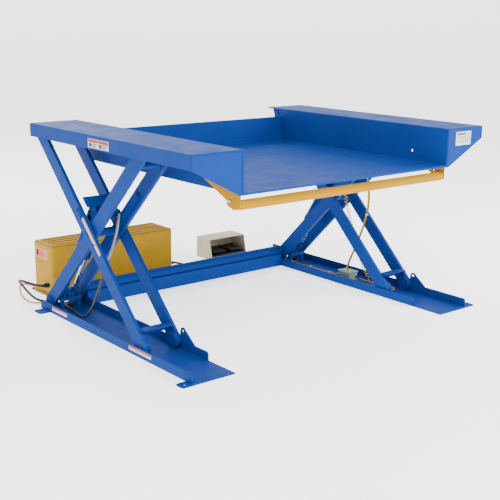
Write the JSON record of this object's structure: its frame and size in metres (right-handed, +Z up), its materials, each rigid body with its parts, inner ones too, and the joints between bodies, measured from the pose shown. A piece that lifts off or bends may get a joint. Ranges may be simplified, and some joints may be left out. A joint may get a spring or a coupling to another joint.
{
  "type": "scissor lift table",
  "caption": "U-shaped ground-entry scissor lift table: a walled deck between two narrow hydraulic scissors, with a power unit and a foot switch.",
  "frame": {"origin": "on the floor, at the centre of the four floor-anchor holes", "axes": "+Z up, +Y to the rear, where the cross member is; +X to the right of a person facing the open front"},
  "size_m": [1.9743, 1.82, 0.991],
  "materials": {
    "blue_paint": "gloss",
    "yellow_paint": "gloss",
    "cover_yellow": "satin",
    "dark_paint": "satin",
    "aluminium": "satin",
    "chrome": "polished",
    "zinc_steel": "satin",
    "black_plastic": "matte",
    "cream_plastic": "satin",
    "grey_plastic": "matte",
    "black_rubber": "satin",
    "yellow_cord": "satin"
  },
  "bodies": {
    "base": {"base_plate_right": "blue_paint", "base_plate_left": "blue_paint", "base_rails": "blue_paint", "base_pivot_ears": "blue_paint", "base_pivot_pins": "blue_paint", "ram_anchors": "blue_paint", "cross_member_tube": "blue_paint", "cross_member_angle": "blue_paint", "power_unit_cover": "cover_yellow", "power_unit_pan": "dark_paint", "oil_tank": "dark_paint", "pump_manifold": "aluminium", "pump_motor": "dark_paint", "hose_fittings": "black_plastic", "foot_switch_base": "black_plastic", "foot_switch_guard": "cream_plastic", "junction_box": "grey_plastic", "ram_hose_left": "black_rubber", "supply_cord_left": "yellow_cord", "supply_hose_right": "black_rubber", "foot_switch_cord": "yellow_cord", "deck_cable_right": "yellow_cord", "coil_cord_right": "yellow_cord"},
    "inner_legs_left": {"inner_legs_left": "blue_paint", "inner_cross_tubes_left": "blue_paint", "prop_stud": "blue_paint"},
    "inner_legs_right": {"inner_legs_right": "blue_paint", "inner_cross_tubes_right": "blue_paint"},
    "outer_legs_left": {"outer_legs_left": "blue_paint", "outer_leg_braces_left": "blue_paint", "middle_pins_left": "blue_paint"},
    "outer_legs_right": {"outer_legs_right": "blue_paint", "outer_leg_braces_right": "blue_paint", "middle_pins_right": "blue_paint"},
    "deck": {"deck_plate": "blue_paint", "back_wall": "blue_paint", "side_wall_right": "blue_paint", "side_wall_left": "blue_paint", "side_box_top_right": "blue_paint", "side_box_top_left": "blue_paint", "side_skirt_right": "blue_paint", "side_skirt_left": "blue_paint", "side_box_ends": "blue_paint", "deck_pivot_ears": "blue_paint", "deck_pivot_pins": "blue_paint", "toe_guard_brackets": "yellow_paint", "cable_clamp": "black_plastic"},
    "top_rollers_left": {"top_rollers_left": "blue_paint"},
    "top_rollers_right": {"top_rollers_right": "blue_paint"},
    "bottom_rollers_left": {"bottom_rollers_left": "blue_paint"},
    "bottom_rollers_right": {"bottom_rollers_right": "blue_paint"},
    "ram_rods_left": {"ram_rods_left": "chrome"},
    "ram_rods_right": {"ram_rods_right": "chrome"},
    "ram_barrels_left": {"ram_barrels_left": "blue_paint"},
    "ram_barrels_right": {"ram_barrels_right": "blue_paint"},
    "toe_guard": {"toe_guard_bar": "yellow_paint", "toe_guard_screws": "zinc_steel"},
    "pedal_lower": {"pedal_lower": "black_plastic"},
    "pedal_raise": {"pedal_raise": "black_plastic"},
    "maintenance_prop": {"maintenance_prop": "blue_paint"}
  },
  "joints": [
    {"name": "lift", "type": "hinge", "parent": "base", "child": "inner_legs_left", "pos_m": [0, 0.677, 0.046], "axis": [-1, 0, 0], "range_deg": [-36.27, 0], "deforming": ["ram_hose_left", "deck_cable_right", "coil_cord_right", "ram_barrels_left", "ram_barrels_right"]},
    {"name": "outer_legs_left_turn", "type": "hinge", "parent": "inner_legs_left", "child": "outer_legs_left", "pos_m": [0, 0.216, 0.49625], "axis": [-1, 0, 0], "range_deg": [0, 72.56]},
    {"name": "deck_level", "type": "hinge", "parent": "outer_legs_left", "child": "deck", "pos_m": [0, 0.677, 0.9465], "axis": [-1, 0, 0], "range_deg": [-36.28, 0]},
    {"name": "inner_legs_right_turn", "type": "hinge", "parent": "base", "child": "inner_legs_right", "pos_m": [0, 0.677, 0.046], "axis": [-1, 0, 0], "range_deg": [-36.28, 0]},
    {"name": "outer_legs_right_turn", "type": "hinge", "parent": "inner_legs_right", "child": "outer_legs_right", "pos_m": [0, 0.216, 0.49625], "axis": [-1, 0, 0], "range_deg": [0, 72.56]},
    {"name": "ram_rods_left_swing", "type": "hinge", "parent": "base", "child": "ram_rods_left", "pos_m": [0, 0.603, 0.105], "axis": [-1, 0, 0], "range_deg": [-45.83, 0.01]},
    {"name": "ram_barrels_left_slide", "type": "slide", "parent": "ram_rods_left", "child": "ram_barrels_left", "axis": [0, -0.5407, 0.8412], "range_m": [-0.14952, 0]},
    {"name": "ram_rods_right_swing", "type": "hinge", "parent": "base", "child": "ram_rods_right", "pos_m": [0, 0.603, 0.105], "axis": [-1, 0, 0], "range_deg": [-45.83, 0.01]},
    {"name": "ram_barrels_right_slide", "type": "slide", "parent": "ram_rods_right", "child": "ram_barrels_right", "axis": [0, -0.5407, 0.8412], "range_m": [-0.14952, 0]},
    {"name": "bottom_rollers_left_roll", "type": "hinge", "parent": "outer_legs_left", "child": "bottom_rollers_left", "pos_m": [0, -0.245, 0.046], "axis": [-1, 0, 0], "continuous": true},
    {"name": "top_rollers_left_roll", "type": "hinge", "parent": "inner_legs_left", "child": "top_rollers_left", "pos_m": [0, -0.245, 0.9465], "axis": [-1, 0, 0], "continuous": true},
    {"name": "bottom_rollers_right_roll", "type": "hinge", "parent": "outer_legs_right", "child": "bottom_rollers_right", "pos_m": [0, -0.245, 0.046], "axis": [-1, 0, 0], "continuous": true},
    {"name": "top_rollers_right_roll", "type": "hinge", "parent": "inner_legs_right", "child": "top_rollers_right", "pos_m": [0, -0.245, 0.9465], "axis": [-1, 0, 0], "continuous": true},
    {"name": "toe_guard_lift", "type": "slide", "parent": "deck", "child": "toe_guard", "axis": [0, 0, 1], "range_m": [0, 0.012]},
    {"name": "pedal_lower_press", "type": "hinge", "parent": "base", "child": "pedal_lower", "pos_m": [0, 1.098, 0.044], "axis": [1, 0, 0], "range_deg": [0, 5], "stiffness_Nm_per_rad": 12, "springref_deg": -5.73},
    {"name": "pedal_raise_press", "type": "hinge", "parent": "base", "child": "pedal_raise", "pos_m": [0, 1.098, 0.044], "axis": [1, 0, 0], "range_deg": [0, 5], "stiffness_Nm_per_rad": 12, "springref_deg": -5.73},
    {"name": "maintenance_prop_swing", "type": "hinge", "parent": "inner_legs_left", "child": "maintenance_prop", "pos_m": [0, 0.0114, 0.69608], "axis": [-1, 0, 0], "range_deg": [0, 40]}
  ],
  "couplings": [
    {"joint": "outer_legs_left_turn", "follows": "lift", "ratio": -2},
    {"joint": "deck_level", "follows": "lift", "ratio": 1},
    {"joint": "inner_legs_right_turn", "follows": "lift", "ratio": 1},
    {"joint": "outer_legs_right_turn", "follows": "lift", "ratio": -2},
    {"joint": "ram_rods_left_swing", "follows": "lift", "ratio": 1.2633},
    {"joint": "ram_barrels_left_slide", "follows": "lift", "m_per_rad": 0.23603},
    {"joint": "ram_rods_right_swing", "follows": "lift", "ratio": 1.2633},
    {"joint": "ram_barrels_right_slide", "follows": "lift", "m_per_rad": 0.23603}
  ]
}
